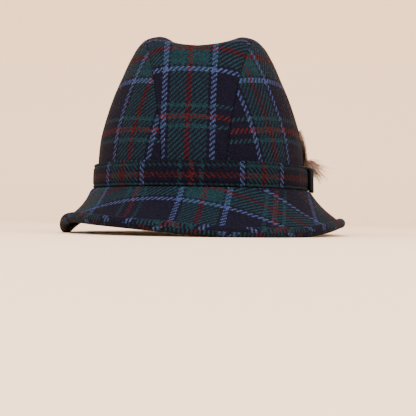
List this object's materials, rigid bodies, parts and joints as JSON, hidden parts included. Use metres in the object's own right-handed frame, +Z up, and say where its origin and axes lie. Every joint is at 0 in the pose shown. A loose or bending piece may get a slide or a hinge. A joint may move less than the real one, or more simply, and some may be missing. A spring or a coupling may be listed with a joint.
{
  "type": "wool trilby hat with feather plume",
  "caption": "Tartan wool trilby with a three-panel dented crown, self-cloth band, corded brim turned down in front and up behind, and a clasp that holds a feather plume.",
  "frame": {"origin": "on the surface that the hat stands on, under the middle of the brim's outline", "axes": "+Z up, the hat's front faces -Y, +X towards the wearer's left, where the clasp and the plume are"},
  "size_m": [0.2228, 0.2952, 0.1552],
  "materials": {
    "tartan_cloth": "navy and green tartan wool twill",
    "band_cloth": "tartan wool twill, folded",
    "gloss_black": "glossy black",
    "feather": "red-brown and tan feathers"
  },
  "bodies": {
    "root": {"crown_strip": "tartan_cloth", "crown_side_left": "tartan_cloth", "crown_side_right": "tartan_cloth", "brim": "tartan_cloth", "brim_cord": "tartan_cloth", "hat_band": "band_cloth", "feather_clasp": "gloss_black", "feather_plume": "feather"}
  },
  "joints": []
}
